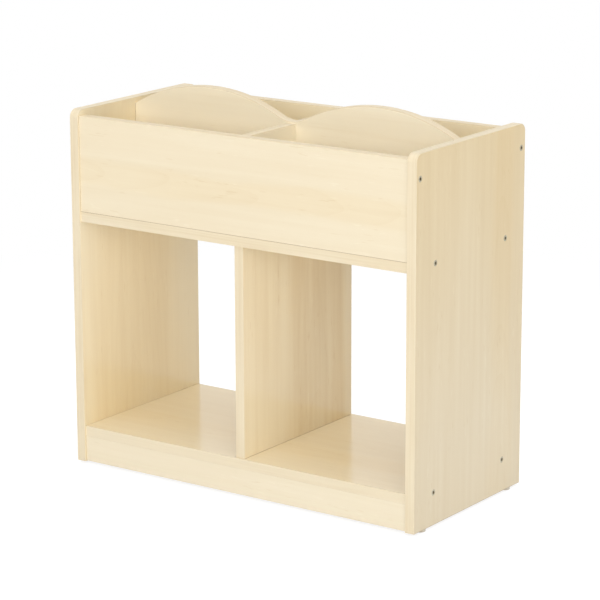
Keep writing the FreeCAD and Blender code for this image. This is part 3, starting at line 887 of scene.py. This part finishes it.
# %% Where the dowels go
inner_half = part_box("bin_floor")[1].x
bin_floor_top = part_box("bin_floor")[1].z
lower_fixing = bin_floor_top + BIN_FIXING_INSET
panel_inner = shelf_half_depth - thickness
wood = beech()
pin = dowel_surface(-IN_FACE, IN_EDGE)
long_pin = dowel_surface(-thickness / 2 - IN_EDGE, thickness / 2 + IN_EDGE)
for face, way in (("front", -1), ("rear", 1)):
    kick_board_middle = (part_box(face + "_kick_board_band")[0].z + underside) / 2
    for part, end_level, joint, into in (("bin_panel", lower_fixing, bin_floor_top, 1),
                                         ("kick_board", kick_board_middle, underside, -1)):
        surfaces = []
        for sign in (-1, 1):
            in_side = (sign * inner_half, way * panel_middle, end_level)
            in_shelf = (sign * inner_half / 3, way * panel_middle, joint)
            surfaces.append(pointed(pin, in_side, (-sign, 0, 0)))
            surfaces.append(pointed(pin, in_shelf, (0, 0, into)))
        node = "%s_%s_dowels" % (face, part)
        solid_piece(node + "_fluted", surfaces, wood, node)
OTHER_DOWELS = {
    "arched_divider_dowels": [(pin, (sign * inner_half, 0.0, z), (-sign, 0, 0))
                              for sign in (-1, 1) for z in (lower_fixing, upper_fixing)],
    "cross_divider_dowels": [(pin, (0.0, way * panel_inner, z), (0, -way, 0))
                             for way in (-1, 1) for z in (lower_fixing, upper_fixing)],
    "through_dowels": [(long_pin, (0.0, 0.0, z), (0, 1, 0)) for z in (lower_fixing, upper_fixing)],
    "upright_dowels": [(pin, (0.0, way * shelf_screw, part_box("bin_floor")[0].z), (0, 0, -1))
                       for way in (-1, 1)],
}
for node, dowels in OTHER_DOWELS.items():
    solid_piece(node + "_fluted", [pointed(*dowel) for dowel in dowels], wood, node)

# %% [markdown]
# ## Floor glides
#
# Four plastic buttons keep the panels' raw lower edges off a wet floor. Each is turned about its
# stem: a flat foot, a soft rounded rim, a slightly drafted side, and the stem that plugs into the
# panel. A turned piece is a profile of radius and height, carried round a circle.

# %% Glides
GLIDE_INSET = 34 * MM
GLIDE_HEIGHT = 5 * MM
GLIDE_RINGS = np.array([
    (0.02, -5.0), (4.5, -5.0), (7.3, -4.97), (8.2, -4.7), (8.75, -4.15), (8.95, -3.4), (9.0, -2.6),
    (9.0, -0.25), (8.8, 0.0), (3.0, 0.0), (3.0, 11.2), (2.4, 12.0), (0.02, 12.0)]) * MM
GLIDE_STEPS = 48
GLIDE_LIGHT = srgb(226, 218, 200)
GLIDE_DARK = srgb(214, 204, 184)
GRIT_WAVES = 1500.0
GLIDE_IOR = 1.49


def turned_surface(rings, steps):
    """A profile of (radius, height) rings carried round the Z axis."""
    angle = np.linspace(0, 2 * math.pi, steps, endpoint=False)
    return round_surface(np.broadcast_to(rings[:, :1], (len(rings), steps)), rings[:, 1:], angle)


def glide_plastic():
    """Pale moulded plastic with a fine spark-eroded texture."""
    graph = Graph(bpy.data.materials.new("pale_plastic"))
    grit = graph.speckle(GRIT_WAVES, detail=2.0)
    colour = graph.blend(grit, GLIDE_LIGHT, GLIDE_DARK)
    bump = graph.add("Bump", {}, {"Strength": 0.2, "Distance": 0.03 * MM, "Height": grit})
    shader = graph.add("BsdfPrincipled", {}, {
        "Base Color": colour, "Roughness": 0.45 + grit * 0.12, "IOR": GLIDE_IOR, "Normal": bump})
    return graph.finish(shader)


glide = turned_surface(GLIDE_RINGS, GLIDE_STEPS)
half_depth = cad_box[1].y
spots = [(sign * (outer - thickness / 2), way * (half_depth - GLIDE_INSET), GLIDE_HEIGHT)
         for sign in (-1, 1) for way in (-1, 1)]
solid_piece("floor_glides_moulded", [pointed(glide, spot, (0, 0, 1)) for spot in spots],
            glide_plastic(), "floor_glides")

# %% [markdown]
# ## Studio
#
# The browser stands on a white floor that runs on out of sight. To the camera, and in a reflection,
# floor and sky are plain white, and only the soft shadow round the feet tells that there is a floor.
# To all other light the floor is ordinary pale paint, which sends light back up under the shelves,
# and the sky is dark but for a glowing ceiling.

# %% Floor and sky
FLOOR_SIZE = 60.0
FLOOR_PAINT = 0.82
SHADOW_SHARE = 0.30
FLOOR_GLOW = 0.86
SHADOW_REACH = 0.9
CEILING_GLOW = 1.73
CEILING_EDGE = 0.77
CEILING_SOFTNESS = 0.05


def seen_directly(graph):
    """1 for rays from the camera, from a reflection or through glass, and 0 for all other light."""
    rays = graph.node("LightPath", {}, {})
    camera, glossy, through = (Field(graph, rays.outputs[name]) for name in (
        "Is Camera Ray", "Is Glossy Ray", "Is Transmission Ray"))
    return camera.larger(glossy.larger(through))


def grey(level):
    return (level, level, level, 1.0)


def floor_material():
    """Pale paint, which the camera sees as white but for the shadow near the browser.

    Seen directly, the floor's light is FLOOR_GLOW plus a share of the painted floor's own. Beyond
    twice SHADOW_REACH from the middle it is plain white.
    """
    graph = Graph(bpy.data.materials.new("studio_floor"))
    x, y, _ = graph.split(graph.place())
    far = ((x * x + y * y) ** 0.5).ramp(SHADOW_REACH, 2 * SHADOW_REACH)
    paint = graph.add("BsdfDiffuse", {}, {"Color": grey(FLOOR_PAINT)})
    faint = graph.add("BsdfDiffuse", {}, {"Color": grey(FLOOR_PAINT * SHADOW_SHARE)})
    glow = graph.add("Emission", {}, {"Color": grey(1.0), "Strength": FLOOR_GLOW})
    near = graph.add("AddShader", {}, {0: faint, 1: glow})
    white = graph.add("Emission", {}, {"Color": grey(1.0), "Strength": 1.0})
    seen = graph.add("MixShader", {}, {0: far, 1: near, 2: white})
    return graph.finish(graph.add("MixShader", {}, {0: seen_directly(graph), 1: paint, 2: seen}))


def sky():
    """White where it is seen directly. To all other light only the part overhead glows.

    CEILING_EDGE is the height of the glow's edge on the unit sphere, the sine of its elevation.
    """
    graph = Graph(bpy.data.worlds.new("studio_sky"))
    _, _, up = graph.split(graph.add("TexCoord", {}, {}, "Generated"))
    low, high = CEILING_EDGE - CEILING_SOFTNESS, CEILING_EDGE + CEILING_SOFTNESS
    ceiling = up.ramp(low, high) * CEILING_GLOW
    direct = seen_directly(graph)
    strength = direct + (1 - direct) * ceiling
    return graph.finish(graph.add("Background", {}, {"Color": grey(1.0), "Strength": strength}))


edge = FLOOR_SIZE / 2
corners = [(-edge, -edge, 0), (edge, -edge, 0), (edge, edge, 0), (-edge, edge, 0)]
floor_mesh = bpy.data.meshes.new("floor")
floor_mesh.from_pydata(corners, [], [(0, 1, 2, 3)])
floor_mesh.materials.append(floor_material())
floor = bpy.data.objects.new("floor", floor_mesh)
bpy.context.scene.collection.objects.link(floor)
bpy.context.scene.world = sky()

# %% [markdown]
# Five soft boxes stand round the browser, and the ceiling of the room glows. The key and the fill
# are in front, the key to the left of the camera and the fill behind it. The one on the right is
# weaker, so that the side is a shade darker than the front. The ones behind and on the left are
# there for whoever walks round the browser. Large lamps far off give soft shadows inside the bays.
# None of them shows in a reflection, where the whole room is plain white: a glossy shelf would
# mirror a soft box as a patch of glare.

# %% Lamps
# Each soft box: its name, its place and its size in metres, and its power in watts.
SOFT_BOXES = [
    ("key_soft_box", (0.6, -6.8, 2.6), 3.0, 151.0),
    ("fill_soft_box", (4.0, -5.6, 3.0), 4.0, 134.0),
    ("right_soft_box", (7.0, -2.4, 2.4), 4.0, 109.0),
    ("rear_soft_box", (1.0, 6.5, 1.6), 3.0, 125.0),
    ("left_soft_box", (-7.0, 0.5, 2.4), 4.0, 70.0),
]


def soft_box(name, place, size, watts):
    """A square area lamp that looks at the middle of the browser."""
    lamp = bpy.data.lights.new(name, "AREA")
    lamp.size, lamp.energy = size, watts
    stand = bpy.data.objects.new(name, lamp)
    target = np.array([0.0, 0.0, (cad_box[0].z + cad_box[1].z) / 2])
    back = np.array(place) - target
    back /= np.linalg.norm(back)
    side = np.cross([0, 0, 1], back)
    side /= np.linalg.norm(side)
    look = Matrix(np.column_stack([side, np.cross(back, side), back]).tolist())
    stand.matrix_world = Matrix.Translation(place) @ look.to_4x4()
    stand.visible_glossy = False
    bpy.context.scene.collection.objects.link(stand)


for row in SOFT_BOXES:
    soft_box(*row)
print("soft boxes:", len(SOFT_BOXES), "watts in all:", sum(row[-1] for row in SOFT_BOXES))

# %% [markdown]
# ## Camera
#
# A long lens from almost five metres keeps the browser's upright edges nearly parallel, which is
# how furniture is shown in a catalogue. The camera stands to the right and looks a little down, so
# that the front, the right side and the top of the bin all show.

# %% Camera
CAMERA_PLACE = (2.6562, -3.7424, 1.4843)
LENS = 162.44
SENSOR_WIDTH = 36.0
YAW, PITCH, ROLL = (math.radians(angle) for angle in (35.253, 14.259, -0.168))
camera_data = bpy.data.cameras.new("camera")
camera_data.lens, camera_data.sensor_width = LENS, SENSOR_WIDTH
camera = bpy.data.objects.new("camera", camera_data)
camera.matrix_world = (
    Matrix.Translation(CAMERA_PLACE) @ Matrix.Rotation(YAW, 4, "Z")
    @ Matrix.Rotation(math.pi / 2 - PITCH, 4, "X") @ Matrix.Rotation(ROLL, 4, "Z"))
bpy.context.scene.collection.objects.link(camera)
bpy.context.scene.camera = camera
bpy.context.scene.view_settings.view_transform = "Standard"
print("camera's distance in metres:", round(math.dist(CAMERA_PLACE, (0, 0, cad_box[1].z / 2)), 2))
